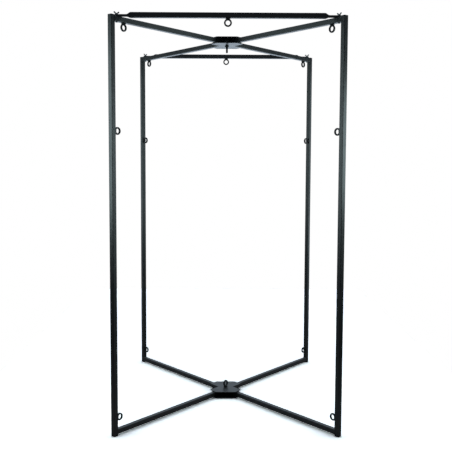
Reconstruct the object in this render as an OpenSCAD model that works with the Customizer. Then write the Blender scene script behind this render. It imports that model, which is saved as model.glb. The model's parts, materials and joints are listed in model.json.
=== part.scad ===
// Free-standing frame of square steel tube. Corner posts stand between crossed base arms and crossed
// top arms, which meet at the centre in hubs of two plates. Two bars lie across the top, held down by
// wing nuts, and eye bolts give places to hang or tie things. The floor is z = 0 and the front is -Y.

/* [Frame] */
// Distance between the left and right post axes
post_span_x = 1100; // [900:10:1400]
// Distance between the front and rear post axes
post_span_y = 1400; // [1100:10:1700]
// Height from the floor to the top of the post caps
frame_h = 2040; // [1700:10:2450]

/* [Square tube] */
// Outside width of the posts, stubs, arms and bars
tube_w = 25; // [21:1:32]
// Wall of the tube
tube_wall = 2; // [1.5:0.1:2.4]
// Outside corner radius of the tube
tube_r = 2; // [1:0.1:2.5]

/* [Corners] */
// Length of the stub tube at each end of a post
stub_len = 130; // [110:1:160]
// How far a base stub runs down past the arm that is welded to it
base_past_arm = 4; // [3:0.5:8]
// How far a top stub runs up past the arm that is welded to it
top_past_arm = 2; // [1:0.5:8]
// Length of the spigot inside each seam
spigot_len = 100; // [80:1:120]
// Part of the spigot that is inside the stub
spigot_in_stub = 34; // [20:1:36]
// Wall of the spigot
spigot_wall = 1.5; // [1:0.1:2]
// Gap between a spigot and the tube wall on each side
spigot_gap = 0.1; // [0.05:0.05:0.3]

/* [Feet and caps] */
// Thickness of the foot under a base stub
foot_t = 5; // [4:0.5:8]
// Thickness of the cap on a top stub
cap_t = 3; // [2:0.5:5]
// Depth of the plug of a foot or cap inside the tube
plug_len = 15; // [8:1:20]
// Gap between a plug and the tube wall on each side
plug_gap = 0.1; // [0.05:0.05:0.3]

/* [Hubs] */
// Thickness of a hub plate
plate_t = 3; // [2:0.5:5]
// Corner radius of a hub plate
plate_r = 4; // [2:0.5:6]
// Radius at the bottom of a hub plate's side notch
notch_r = 1.5; // [1:0.5:4]
// Distance along an arm from the centre to a side tip of the plate
plate_tip_along = 103; // [90:1:112]
// Distance from the arm axis to a side tip of the plate
plate_tip_side = 33; // [28:1:38]
// Distance along an arm from the centre to an end corner of the plate
plate_end_along = 118; // [100:1:140]
// Distance from the arm axis to an end corner of the plate
plate_end_side = 21.5; // [18:0.5:26]
// Wall of a hub sleeve
sleeve_wall = 2.3; // [1.5:0.1:3]
// Gap between an arm and its sleeve on each side
sleeve_gap = 0.2; // [0.1:0.05:0.4]
// Distance along an arm from where two sleeves would meet to the inner end of a sleeve
sleeve_meet_gap = 8; // [4:0.5:14]
// Distance from the centre to the outer end of a sleeve
sleeve_end = 110; // [90:1:130]
// Distance by which an arm stops short of its sleeve's inner end
arm_short = 3; // [1:0.5:6]

/* [Top bars] */
// Length of a bar's flat tab from its clamp bolt to the pressed taper
tab_len = 47; // [34:1:60]
// Length over which a bar end is pressed down to its tab
bar_taper = 21; // [12:1:28]
// Thickness of the pressed tab
tab_t = 8.5; // [6:0.5:10]
// How far the middle of a tab lies below the bar's axis
tab_drop = 2; // [0:0.5:4]
// Distance along the top arm from the post axis to the clamp bolt
clamp_from_post = 34; // [32:1:44]

/* [Clamp fasteners] */
// Diameter of the clamp bolt
bolt_d = 6; // [5:1:8]
// Gap between the clamp bolt and the holes that it passes through on each side
bolt_hole_gap = 0.2; // [0.1:0.1:0.5]
// Width across the flats of the bolt head
bolt_af = 10; // [9:1:13]
// Height of the bolt head
bolt_head_h = 4; // [3:0.5:6]
// Length of bolt that shows above the wing nut
bolt_past_nut = 0.5; // [0.5:0.5:4]
// Diameter of the washer
washer_d = 14; // [12:0.5:18]
// Thickness of the washer
washer_t = 1.2; // [1:0.1:2]
// Span of the wing nut over both wings
wing_span = 29; // [26:1:36]
// Height of the wing nut to the tips of its wings
wing_h = 13; // [12:0.5:18]
// Thickness of a wing
wing_t = 2.6; // [2:0.1:3.5]
// Radius of a wing's round tip
wing_tip_r = 3.6; // [3:0.1:4]
// Diameter of the wing nut's barrel at its foot
wing_barrel_d = 13.5; // [11:0.5:15]
// Diameter of the wing nut's barrel at its top
wing_barrel_top_d = 11; // [9:0.5:12]
// Height of the wing nut's barrel
wing_barrel_h = 5.5; // [5:0.5:8]
// Running gap between the wing nut and its bolt
wing_gap = 0.05; // [0.02:0.01:0.1]

/* [Eye bolts] */
// Thickness of the eye's ring from its hole to its outside
eye_wire_d = 8; // [6:0.5:10]
// Flat width of the ring's face, which adds to its round sides
eye_land = 3; // [2:0.5:5]
// Diameter of the eye at the middle of its ring
eye_ring_d = 30; // [26:0.5:34]
// Height of the eye's lowest point above its seat
eye_lift = 2; // [1:0.5:5]
// Diameter of the collar
eye_collar_d = 23; // [18:0.5:26]
// Height of the collar's straight rim
eye_collar_h = 5; // [4:0.5:6]
// Diameter of the collar's cone where it meets the eye
eye_neck_d = 11; // [9:0.5:14]
// Distance from the top of the collar's cone to the eye's hole
eye_neck_gap = 0.7; // [0.3:0.1:1.5]
// Diameter of the thread
eye_shank_d = 8; // [6:0.5:9]
// Length of the thread below the seat
eye_shank_len = 14; // [12:0.5:16]
// Gap between the thread and its insert or nut
thread_gap = 0.05; // [0.02:0.01:0.1]
// Distance along the top arm from the post axis to its eye bolt
arm_eye_from_post = 80; // [66:1:120]
// Distance from the top of the frame down to the eye bolts on the posts
post_eye_from_top = 545; // [320:5:1100]
// Distance from the base seam down to the eye bolts on the base stubs
base_eye_from_seam = 45; // [44:1:50]

/* [Inserts and hub nuts] */
// Outside diameter of a thread insert
insert_d = 11; // [10:0.5:12]
// Length of a thread insert inside the wall
insert_len = 14; // [10:0.5:15]
// Diameter of the insert's flange
insert_flange_d = 15; // [13:0.5:17]
// Thickness of the insert's flange
insert_flange_t = 0.8; // [0.5:0.1:1.2]
// Gap between an insert and its hole on each side
insert_gap = 0.05; // [0.02:0.01:0.1]
// Width across the flats of a hub nut
hub_nut_af = 13; // [12:1:15]

/* [Hidden] */
$fn = 64;
// Name of each corner, its side (left -1, right 1), its end (front -1, rear 1) and its wing nut's turn
CORNERS = [
    ["front_left", -1, -1, 30],
    ["front_right", 1, -1, -50],
    ["rear_left", -1, 1, 50],
    ["rear_right", 1, 1, -30],
];
// Name of each top bar and its end of the frame
ENDS = [["front", -1], ["rear", 1]];

black_coat = [0.09, 0.10, 0.11];
black_eye = [0.05, 0.05, 0.06];
black_plastic = [0.03, 0.03, 0.03];
zinc = [0.62, 0.65, 0.66];

// Plan direction from the centre to the rear right post, and the post's distance from the centre
arm_dir = [post_span_x, post_span_y] / norm([post_span_x, post_span_y]);
arm_angle = atan2(arm_dir.y, arm_dir.x);
post_from_centre = norm([post_span_x, post_span_y]) / 2;

// Heights of the stub ends, the seams and the arm axes
stub_top_z = frame_h - cap_t;
base_seam_z = foot_t + stub_len;
top_seam_z = stub_top_z - stub_len;
base_arm_z = foot_t + base_past_arm + tube_w / 2;
top_arm_z = stub_top_z - top_past_arm - tube_w / 2;
post_eye_z = frame_h - post_eye_from_top;
base_eye_z = base_seam_z - base_eye_from_seam;

// Sections that fit in and over the tube
tube_in = tube_w - 2 * tube_wall;
inner_r = tube_r / 2;
plug_w = tube_in - 2 * plug_gap;
spigot_w = tube_in - 2 * spigot_gap;
sleeve_in = tube_w + 2 * sleeve_gap;
sleeve_w = sleeve_in + 2 * sleeve_wall;
hub_half_h = sleeve_w / 2 + plate_t;

// Distances from the centre to the inner ends of the sleeves and arms, which depend on how narrowly they cross
sleeve_meet = sleeve_w / 2 / tan(min(arm_angle, 90 - arm_angle));
sleeve_start = sleeve_meet + sleeve_meet_gap;
arm_start = sleeve_start + arm_short;

// Stack on a top arm at the clamp bolt, and the place of the bolt
arm_top_z = top_arm_z + tube_w / 2;
arm_under_z = top_arm_z - tube_w / 2;
tab_top_z = arm_top_z + tab_t;
bar_z = arm_top_z + tab_t / 2 + tab_drop;
wing_z = tab_top_z + washer_t;
clamp_x = post_span_x / 2 - clamp_from_post * arm_dir.x;
clamp_y = post_span_y / 2 - clamp_from_post * arm_dir.y;
bar_half_len = clamp_x - tab_len - bar_taper;
bolt_hole_d = bolt_d + 2 * bolt_hole_gap;
bolt_top_z = wing_z + wing_barrel_h + bolt_past_nut;

// Eye bolt: the hole, the ring's centre above the seat and the height of the collar's cone
eye_hole_d = eye_ring_d - eye_wire_d;
eye_ring_z = eye_lift + (eye_ring_d + eye_wire_d) / 2;
eye_neck_h = eye_ring_z - eye_hole_d / 2 - eye_neck_gap - eye_collar_h;

insert_hole_d = insert_d + 2 * insert_gap;
thread_hole_d = eye_shank_d + 2 * thread_gap;
// Length of a cut that has to pass clean through a wall
through = 2 * tube_w;

// Places

// Stands at a post's axis on the floor, with +X along the arm towards the centre
module at_corner(c) {
    translate([c[1] * post_span_x / 2, c[2] * post_span_y / 2, 0])
        rotate([0, 0, atan2(-c[2] * post_span_y, -c[1] * post_span_x)])
            children();
}

// Points inwards from a post's or stub's inner face, at height z
module on_post(c, z) {
    at_corner(c) translate([tube_w / 2, 0, z]) rotate([0, 90, 0]) children();
}

// Points down from the underside of a top arm
module under_arm(c) {
    at_corner(c) translate([arm_eye_from_post, 0, arm_under_z]) rotate([180, 0, 0]) children();
}

// Points down from the middle of a top bar's underside
module under_bar(e) {
    translate([0, e[1] * clamp_y, bar_z - tube_w / 2]) rotate([180, 0, 0]) children();
}

// Points down from the top hub, with the eye turned edge-on to the front
module under_top_hub() {
    translate([0, 0, top_arm_z - hub_half_h]) rotate([180, 0, 90]) children();
}

// Points up from the base hub, with the eye turned along a diagonal
module on_base_hub() {
    translate([0, 0, base_arm_z + hub_half_h]) rotate([0, 0, arm_angle]) children();
}

// Stands on a clamp bolt's axis at height z
module at_clamp(c, z) {
    translate([c[1] * clamp_x, c[2] * clamp_y, z]) children();
}

// Shapes that repeat

module rounded_square(w, r) {
    square([w, w - 2 * r], center = true);
    square([w - 2 * r, w], center = true);
    for (x = [-1, 1], y = [-1, 1])
        translate([x * (w / 2 - r), y * (w / 2 - r)]) circle(r);
}

// Square tube that stands on z = 0
module square_tube(w, r, w_in, r_in, len) {
    linear_extrude(len) difference() {
        rounded_square(w, r);
        rounded_square(w_in, r_in);
    }
}

module frame_tube(len) {
    square_tube(tube_w, tube_r, tube_in, inner_r, len);
}

// Hole through the wall that z = 0 lies on
module insert_hole() {
    translate([0, 0, -tube_wall - 1]) cylinder(d = insert_hole_d, h = tube_wall + 2);
}

// Tube from the stub's inner face to the hub, at the height of the arm's axis
module arm_tube(z) {
    translate([tube_w / 2, 0, z])
        rotate([0, 90, 0])
            frame_tube(post_from_centre - arm_start - tube_w / 2);
}

// Points of an arc that rounds the corner b between a and c, on the inside of the turn
function unit(v) = v / norm(v);
function corner_arc(a, b, c, r, steps = 6) =
    let (
        u = unit(a - b),
        v = unit(c - b),
        half = acos(u * v) / 2,
        mid = b + unit(u + v) * r / sin(half),
        p = b + u * r / tan(half) - mid,
        turn = sign(cross(u, v)) * (2 * half - 180)
    )
    [for (i = [0:steps]) let (t = turn * i / steps)
        mid + [p.x * cos(t) - p.y * sin(t), p.x * sin(t) + p.y * cos(t)]];

// Hub plate outline: an end edge front and rear, and a notch at each side that follows the arms
plate_side_dir = [arm_dir.y, -arm_dir.x];
plate_tip = plate_tip_along * arm_dir + plate_tip_side * plate_side_dir;
plate_end = plate_end_along * arm_dir - plate_end_side * plate_side_dir;
plate_notch = [plate_tip_side / arm_dir.y, 0];
plate_half = [
    [plate_end.x, -plate_end.y],
    [plate_tip.x, -plate_tip.y],
    plate_notch,
    plate_tip,
    plate_end,
];
plate_half_r = [plate_r, plate_r, notch_r, plate_r, plate_r];
plate_points = concat(plate_half, [for (p = plate_half) -p]);
plate_corner_r = concat(plate_half_r, plate_half_r);
plate_count = len(plate_points);
plate_outline = [for (i = [0:plate_count - 1]) each corner_arc(
    plate_points[(i + plate_count - 1) % plate_count],
    plate_points[i],
    plate_points[(i + 1) % plate_count],
    plate_corner_r[i]
)];

// Plate from z upwards
module hub_plate(z, hole_d) {
    color(black_coat) translate([0, 0, z]) linear_extrude(plate_t) difference() {
        polygon(plate_outline);
        circle(d = hole_d);
    }
}

module blank_plate(z) {
    color(black_coat) translate([0, 0, z]) linear_extrude(plate_t) polygon(plate_outline);
}

module hub_sleeves(z) {
    color(black_coat) for (c = CORNERS) at_corner(c)
        translate([post_from_centre - sleeve_end, 0, z])
            rotate([0, 90, 0])
                square_tube(sleeve_w, tube_r, sleeve_in, inner_r, sleeve_end - sleeve_start);
}

// Spigots from height z upwards
module spigots(z) {
    color(black_coat) for (c = CORNERS) at_corner(c) translate([0, 0, z])
        square_tube(spigot_w, tube_r, spigot_w - 2 * spigot_wall, inner_r, spigot_len);
}

// Flange from z = 0 up to t, with a plug above it
module tube_plug(t) {
    linear_extrude(t) rounded_square(tube_w, tube_r);
    translate([0, 0, t]) linear_extrude(plug_len) rounded_square(plug_w, tube_r);
}

module hex(af, h) {
    cylinder(d = af / cos(30), h = h, $fn = 6);
}

// Section of an eye's ring: a round bar with a flat face inside and outside
module eye_section() {
    square([eye_wire_d, eye_land], center = true);
    for (side = [-1, 1])
        translate([0, side * eye_land / 2]) circle(d = eye_wire_d);
}

// Lifting eye that stands on its seat at z = 0, with its ring in the XZ plane
module eye_bolt() {
    color(black_eye) {
        translate([0, 0, -eye_shank_len]) cylinder(d = eye_shank_d, h = eye_shank_len);
        cylinder(d = eye_collar_d, h = eye_collar_h);
        translate([0, 0, eye_collar_h]) cylinder(d1 = eye_collar_d, d2 = eye_neck_d, h = eye_neck_h);
        translate([0, 0, eye_ring_z]) rotate([90, 0, 0])
            rotate_extrude() translate([eye_ring_d / 2, 0]) eye_section();
    }
}

// Eye bolt whose insert's flange lies on the tube wall at z = 0
module tube_eye() {
    translate([0, 0, insert_flange_t]) eye_bolt();
}

// Rivet-nut insert in the wall that z = 0 lies on
module thread_insert() {
    color(zinc) difference() {
        union() {
            cylinder(d = insert_flange_d, h = insert_flange_t);
            translate([0, 0, -insert_len]) cylinder(d = insert_d, h = insert_len);
        }
        translate([0, 0, -through]) cylinder(d = thread_hole_d, h = 2 * through);
    }
}

// Long nut that stands between the hub plates, behind the plate that z = 0 lies on
module hub_nut() {
    color(black_eye) translate([0, 0, -plate_t - sleeve_w]) difference() {
        hex(hub_nut_af, sleeve_w);
        translate([0, 0, -1]) cylinder(d = thread_hole_d, h = sleeve_w + 2);
    }
}

// Hubs

module base_hub_lower_plate() { blank_plate(base_arm_z - hub_half_h); }
module base_hub_upper_plate() { hub_plate(base_arm_z + sleeve_w / 2, thread_hole_d); }
module base_hub_sleeves() { hub_sleeves(base_arm_z); }
module top_hub_lower_plate() { hub_plate(top_arm_z - hub_half_h, thread_hole_d); }
module top_hub_upper_plate() { blank_plate(top_arm_z + sleeve_w / 2); }
module top_hub_sleeves() { hub_sleeves(top_arm_z); }

// Corners

module base_arm(c) {
    color(black_coat) at_corner(c) arm_tube(base_arm_z);
}

module top_arm(c) {
    color(black_coat) difference() {
        at_corner(c) arm_tube(top_arm_z);
        at_clamp(c, top_arm_z - tube_w) cylinder(d = bolt_hole_d, h = 2 * tube_w);
        under_arm(c) insert_hole();
    }
}

module base_stub(c) {
    color(black_coat) difference() {
        at_corner(c) translate([0, 0, foot_t]) frame_tube(stub_len);
        on_post(c, base_eye_z) insert_hole();
    }
}

module post(c) {
    color(black_coat) difference() {
        at_corner(c) translate([0, 0, base_seam_z]) frame_tube(top_seam_z - base_seam_z);
        on_post(c, post_eye_z) insert_hole();
    }
}

module top_stub(c) {
    color(black_coat) at_corner(c) translate([0, 0, top_seam_z]) frame_tube(stub_len);
}

module base_spigots() { spigots(base_seam_z - spigot_in_stub); }
module top_spigots() { spigots(top_seam_z + spigot_in_stub - spigot_len); }

module foot_plugs() {
    color(black_plastic) for (c = CORNERS) at_corner(c) tube_plug(foot_t);
}

module post_caps() {
    color(black_plastic) for (c = CORNERS) at_corner(c)
        translate([0, 0, frame_h]) rotate([180, 0, 0]) tube_plug(cap_t);
}

// Top bars

// Side view of a bar's right half about its middle: full section, taper and flat tab up to the clamp bolt
tab_high = tab_t / 2 - tab_drop;
tab_low = -tab_t / 2 - tab_drop;
bar_right = [
    [bar_half_len, tube_w / 2],
    [bar_half_len + bar_taper, tab_high],
    [clamp_x, tab_high],
    [clamp_x, tab_low],
    [bar_half_len + bar_taper, tab_low],
    [bar_half_len, -tube_w / 2],
];
bar_left = [for (i = [len(bar_right) - 1:-1:0]) [-bar_right[i].x, bar_right[i].y]];

module top_bar(e) {
    color(black_coat) translate([0, e[1] * clamp_y, bar_z]) difference() {
        union() {
            intersection() {
                rotate([90, 0, 0]) linear_extrude(2 * tube_w, center = true)
                    polygon(concat(bar_right, bar_left));
                translate([-clamp_x, 0, 0]) rotate([0, 90, 0])
                    linear_extrude(2 * clamp_x) rounded_square(tube_w, tube_r);
            }
            for (x = [-clamp_x, clamp_x])
                translate([x, 0, tab_low]) cylinder(d = tube_w, h = tab_t);
        }
        translate([-bar_half_len, 0, 0]) rotate([0, 90, 0])
            linear_extrude(2 * bar_half_len) rounded_square(tube_in, inner_r);
        for (x = [-clamp_x, clamp_x])
            translate([x, 0, -tube_w]) cylinder(d = bolt_hole_d, h = 2 * tube_w);
        translate([0, 0, -tube_w / 2]) rotate([180, 0, 0]) insert_hole();
    }
}

// Clamp fasteners

module clamp_bolts() {
    color(zinc) for (c = CORNERS) {
        at_clamp(c, arm_under_z - bolt_head_h) hex(bolt_af, bolt_head_h);
        at_clamp(c, arm_under_z) cylinder(d = bolt_d, h = bolt_top_z - arm_under_z);
    }
}

module washers() {
    color(zinc) for (c = CORNERS) at_clamp(c, tab_top_z) difference() {
        cylinder(d = washer_d, h = washer_t);
        translate([0, 0, -1]) cylinder(d = bolt_hole_d, h = washer_t + 2);
    }
}

module wing_nut(c) {
    tip = [wing_span / 2 - wing_tip_r, wing_h - wing_tip_r];
    color(zinc) at_clamp(c, wing_z) rotate([0, 0, c[3]]) difference() {
        union() {
            cylinder(d1 = wing_barrel_d, d2 = wing_barrel_top_d, h = wing_barrel_h);
            for (side = [0, 180])
                rotate([90, 0, side]) linear_extrude(wing_t, center = true) hull() {
                    translate([wing_barrel_top_d / 2 - 1, wing_barrel_h / 2]) circle(wing_tip_r - 1, $fn = 32);
                    translate(tip) circle(wing_tip_r, $fn = 32);
                }
        }
        translate([0, 0, -1]) cylinder(d = bolt_d + 2 * wing_gap, h = wing_h + 2);
    }
}

// Eye bolts and what holds them

module eye_bar(e) { under_bar(e) tube_eye(); }
module eye_top_arm(c) { under_arm(c) tube_eye(); }
module eye_post(c) { on_post(c, post_eye_z) tube_eye(); }
module eye_base(c) { on_post(c, base_eye_z) tube_eye(); }
module eye_top_hub() { under_top_hub() eye_bolt(); }
module eye_base_hub() { on_base_hub() eye_bolt(); }

module thread_inserts() {
    for (e = ENDS) under_bar(e) thread_insert();
    for (c = CORNERS) {
        under_arm(c) thread_insert();
        on_post(c, post_eye_z) thread_insert();
        on_post(c, base_eye_z) thread_insert();
    }
}

module hub_nuts() {
    under_top_hub() hub_nut();
    on_base_hub() hub_nut();
}

base_hub_lower_plate();
base_hub_upper_plate();
base_hub_sleeves();
top_hub_lower_plate();
top_hub_upper_plate();
top_hub_sleeves();
for (c = CORNERS) {
    base_arm(c);
    base_stub(c);
    post(c);
    top_stub(c);
    top_arm(c);
    wing_nut(c);
    eye_top_arm(c);
    eye_post(c);
    eye_base(c);
}
for (e = ENDS) {
    top_bar(e);
    eye_bar(e);
}
base_spigots();
top_spigots();
foot_plugs();
post_caps();
clamp_bolts();
washers();
eye_top_hub();
eye_base_hub();
thread_inserts();
hub_nuts();
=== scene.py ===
"""Finish of a free-standing tube frame: coated tubes, forged eyes, clamp fasteners and a white studio."""

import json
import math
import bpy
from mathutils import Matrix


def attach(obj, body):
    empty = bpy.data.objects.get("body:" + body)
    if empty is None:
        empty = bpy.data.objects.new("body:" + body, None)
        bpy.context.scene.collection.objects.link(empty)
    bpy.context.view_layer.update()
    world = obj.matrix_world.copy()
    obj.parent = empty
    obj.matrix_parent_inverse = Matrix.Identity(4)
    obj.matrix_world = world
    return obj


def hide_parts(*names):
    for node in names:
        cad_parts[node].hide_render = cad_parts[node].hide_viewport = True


bl_info = {
    "name": "Tube Frame Finish",
    "version": (1, 0, 0),
    "blender": (4, 5, 0),
    "location": "View3D > Sidebar > Tube Frame",
    "description": "Builds the visible pieces of a free-standing tube frame around its packed model",
    "category": "Object",
}

from contextlib import contextmanager

import bmesh
import bpy
from bpy.props import FloatProperty, FloatVectorProperty, PointerProperty
from mathutils import Matrix, Vector

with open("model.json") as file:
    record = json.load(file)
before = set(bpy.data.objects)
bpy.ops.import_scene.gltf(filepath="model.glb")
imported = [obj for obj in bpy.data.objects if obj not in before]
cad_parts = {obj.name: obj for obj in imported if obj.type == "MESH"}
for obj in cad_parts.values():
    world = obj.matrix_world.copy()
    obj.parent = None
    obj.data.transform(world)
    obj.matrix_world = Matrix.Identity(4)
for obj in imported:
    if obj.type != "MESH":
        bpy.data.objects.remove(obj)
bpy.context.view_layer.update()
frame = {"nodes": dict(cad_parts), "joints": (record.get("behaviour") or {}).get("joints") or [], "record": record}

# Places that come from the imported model

CORNERS = ("front_left", "front_right", "rear_left", "rear_right")
ENDS = ("front", "rear")
FIRST = CORNERS[0]
BODY = "frame"


def node_points(node, place=Matrix()):
    """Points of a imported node, seen from a place."""
    back = place.inverted()
    return [back @ v.co for v in frame["nodes"][node].data.vertices]


def node_box(node, place=Matrix()):
    """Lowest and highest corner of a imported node, seen from a place."""
    points = node_points(node, place)
    low = Vector([min(p[i] for p in points) for i in range(3)])
    high = Vector([max(p[i] for p in points) for i in range(3)])
    return low, high


def node_middle(node, place=Matrix()):
    """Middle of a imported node's box, seen from a place."""
    low, high = node_box(node, place)
    return (low + high) / 2


def corner_place(corner):
    """A post's axis on the floor, turned so that +X points to the centre of the frame."""
    spot = node_middle("post_" + corner)
    inward = math.atan2(-spot.y, -spot.x)
    return Matrix.Translation((spot.x, spot.y, 0)) @ Matrix.Rotation(inward, 4, "Z")


PLACES = {corner: corner_place(corner) for corner in CORNERS}
HOME = PLACES[FIRST]
SLOTS = {row["node"]: row["material_slot"] for row in frame["record"]["subparts"]}
JOINTS = {joint["child"]: Vector(joint["pos_m"]) for joint in frame["joints"]}
ARM_LOW, ARM_HIGH = node_box("top_arm_" + FIRST, HOME)
TUBE_W = ARM_HIGH.z - ARM_LOW.z


def clamp_spot(corner):
    """Point of a clamp bolt's axis on the floor."""
    spot = JOINTS["wing_nut_" + corner]
    return Vector((spot.x, spot.y, 0.0))


# Working values of the modelling

MERGE = 0.000002  # distance within which vertices are one
CORNER_MERGE = 0.00005  # the same at the inner corners of a tube's end
SEAM_MERGE = 0.0001  # the same where a mirrored half meets its twin
FACING = 0.9  # cosine past which a face looks along an axis
EDGE_ANGLE = math.radians(40.0)  # turn past which an edge is broken
END_ANGLE = math.radians(86.0)  # turn at which a tab's round end closes with a narrow face
ROUND_SIDES = 48  # sides of drilled and most turned shapes
PRESS_STEPS = 8  # extrusions in a pressed taper or a round end

# Sizes and colours that a user would change


def distance(name, about, default):
    """Property for a length."""
    options = {"min": 0.0, "precision": 5, "subtype": "DISTANCE"}
    return FloatProperty(name=name, description=about, default=default, **options)


def position(name, about, default):
    """Property for a place along an axis."""
    return FloatProperty(name=name, description=about, default=default, precision=5, subtype="DISTANCE")


def pair(name, about, default, unit="LENGTH"):
    """Property for two lengths or the two ends of a range."""
    return FloatVectorProperty(name=name, description=about, default=default, size=2, unit=unit)


def angle(name, about, degrees):
    """Property for an angle."""
    return FloatProperty(name=name, description=about, default=math.radians(degrees), subtype="ANGLE")


def colour(name, about, default):
    """Property for a colour."""
    options = {"min": 0.0, "max": 1.0, "subtype": "COLOR"}
    return FloatVectorProperty(name=name, description=about, default=default, **options)


def number(name, about, default):
    """Property for a plain number."""
    return FloatProperty(name=name, description=about, default=default, min=0.0)


class FinishColours(bpy.types.PropertyGroup):
    """Colours of the finishes"""

    coat: colour("Coat", "Satin black powder coat on the tubes, plates and bars", (0.0085, 0.0094, 0.0102))
    coat_worn: colour("Worn coat", "Coat where edges are rubbed", (0.030, 0.032, 0.034))
    eye: colour("Eye steel", "Black oxide on the eye bolts", (0.0060, 0.0064, 0.0070))
    zinc: colour("Zinc", "Plated bolts, nuts and washers", (0.20, 0.215, 0.21))
    zinc_dull: colour("Dull zinc", "Plating where it has dulled", (0.10, 0.11, 0.108))
    plastic: colour("Plastic", "Moulded caps and feet", (0.0100, 0.0104, 0.0110))


class CameraSettings(bpy.types.PropertyGroup):
    """Camera"""

    x: position("X", "Place across", -0.02824)
    y: position("Y", "Place in depth", -4.28092)
    z: position("Z", "Height above the floor", 1.33212)
    yaw: angle("Yaw", "Turn to the right", 0.3615)
    pitch: angle("Pitch", "Tilt down", 4.6495)
    roll: angle("Roll", "Roll, right side up", 0.2256)
    lens: number("Lens", "Focal length in millimetres", 59.36)
    sensor: number("Sensor", "Width of the sensor in millimetres", 36.0)


class FloorSettings(bpy.types.PropertyGroup):
    """Studio floor"""

    width: distance("Width", "Size across", 2.9)
    depth: distance("Depth", "Size in depth", 5.6)
    middle: position("Middle", "Place of the middle in depth", 0.9)
    grey: number("Grey", "Reflectance for the light that the floor throws back", 0.32)
    white: number("White", "Reflectance that is added where the floor is seen", 2.02)
    fade: number("Fade", "Rise of that reflectance with the square of the distance from the origin", 0.3)
    gloss: number("Gloss", "Share of the seen floor that gloss shows", 0.03)
    tint: colour("Tint", "Warm tint against most of the light's blue", (1.0, 0.91, 0.88))


class LightSettings(bpy.types.PropertyGroup):
    """Soft boxes, and the room that lights the object and shows in its gloss"""

    left_key: number("Left key", "Radiance of the soft box beside the front left post", 4.9)
    right_key: number("Right key", "Radiance of the soft box beside the front right post", 4.4)
    side_walls: number("Side walls", "Radiance of the dim walls along both sides", 1.15)
    top_light: number("Top light", "Radiance of the soft box above", 1.4)
    front_fill: number("Front fill", "Radiance of the weak light behind the camera", 0.25)
    sweep_low: number("Sweep below", "Radiance of the pale floor far behind the frame", 1.76)
    sweep_high: number("Sweep above", "Radiance of the pale wall behind the frame", 0.64)
    room_gloss: number("Room in mirrors", "Share of the white background that gloss shows", 0.03)
    sweep_edge: pair("Sweep edge", "Slopes at which the far floor turns into wall", (-0.10, 0.0), "NONE")
    sweep_side: pair("Sweep side", "Rearward shares of a way as the sweep sets in", (0.25, 0.75), "NONE")
    cool: colour("Cool light", "Tint of the sweep and of the boxes above and in front", (0.73, 0.86, 1.0))
    side_tint: colour("Side tint", "Tint of the soft boxes at the sides", (0.76, 0.97, 1.0))
    side_reach: distance("Side reach", "Distance of the side lights from the middle", 1.7)
    key_front: position("Key front", "Depth at which both keys begin", -1.25)
    splits: pair("Splits", "Depths at which the left and the right key give way to walls", (-0.75, -0.55))
    rear_walls: pair("Rear walls", "Depths at which the lower rear walls begin and end", (0.3, 1.35))
    left_key_rise: pair("Left key rise", "Heights of the left key's lower and upper edge", (1.0, 2.05))
    right_key_rise: pair("Right key rise", "Heights of the right key's lower and upper edge", (1.1, 1.8))
    wall_feet: pair("Wall feet", "Heights of the left and the right walls' lower edges", (0.8, 0.55))
    wall_tops: pair("Wall tops", "Heights of the side and the rear walls' upper edges", (2.6, 2.06))
    top_middle: pair("Top middle", "Depth and height of the middle of the box above", (0.5, 3.3))
    top_size: pair("Top size", "Width and depth of the box above", (2.4, 3.0))
    fill_middle: pair("Fill middle", "Depth and height of the middle of the front fill", (-5.2, 2.2))
    fill_size: pair("Fill size", "Width and height of the front fill", (3.0, 3.6))


class TubeSettings(bpy.types.PropertyGroup):
    """Square tubes, plates and plugs"""

    wall: distance("Wall", "Wall of the square tube", 0.002)
    radius: distance("Corner radius", "Outside radius of the tube's long edges", 0.002)
    chamfer: distance("End chamfer", "Break on the cut ends, which shows as a fine seam", 0.0005)
    insert_hole: distance("Insert hole", "Diameter of the holes for the thread inserts", 0.0111)
    bolt_hole: distance("Bolt hole", "Diameter of the holes for the clamp bolts", 0.0064)
    bead: distance("Weld bead", "Radius of the weld beads", 0.0016)
    ripple: number("Weld ripple", "Share by which a bead swells along its run", 0.10)
    hub_weld: distance("Hub weld", "Length of a weld between a sleeve and a hub plate", 0.032)
    hub_weld_inset: distance("Hub weld inset", "Distance of that weld from the sleeve's outer end", 0.012)
    plate_edge: distance("Plate edge", "Rounding of the hub plates' edges", 0.0006)
    plug: distance("Plug length", "How far a plug reaches into its tube", 0.015)
    plug_gap: distance("Plug gap", "Room between a plug and its tube", 0.0001)
    cap_edge: distance("Cap edge", "Rounding of the caps' outer edge", 0.0011)
    foot_edge: distance("Foot edge", "Rounding of the feet's lower edge", 0.0014)


class BarSettings(bpy.types.PropertyGroup):
    """Top bars with pressed flat ends"""

    taper: distance("Taper", "Length of the pressed taper", 0.021)
    tab_length: distance("Tab length", "Flat length from the taper to the bolt", 0.047)
    tab: distance("Tab thickness", "Thickness of the pressed flat end", 0.0085)
    drop: distance("Tab drop", "How far the middle of the tab lies below the bar's axis", 0.002)


class EyeSettings(bpy.types.PropertyGroup):
    """Eye bolts"""

    wire: distance("Ring thickness", "Thickness of the ring from its hole to its outside", 0.008)
    land: distance("Land", "Flat width of the ring's face, which adds to its round sides", 0.003)
    ring: distance("Ring", "Diameter at the middle of the ring", 0.030)
    lift: distance("Lift", "Height of the ring's lowest point above the seat", 0.002)
    collar: distance("Collar", "Diameter of the collar", 0.023)
    collar_height: distance("Collar height", "Thickness of the collar", 0.005)
    neck: distance("Neck", "Diameter where the ring grows out of the collar", 0.011)
    shank: distance("Shank", "Diameter of the shank", 0.008)
    shank_length: distance("Shank length", "Length of the shank below the seat", 0.014)
    voxel: distance("Fuse size", "Grain at which ring and collar are fused", 0.0006)


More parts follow.
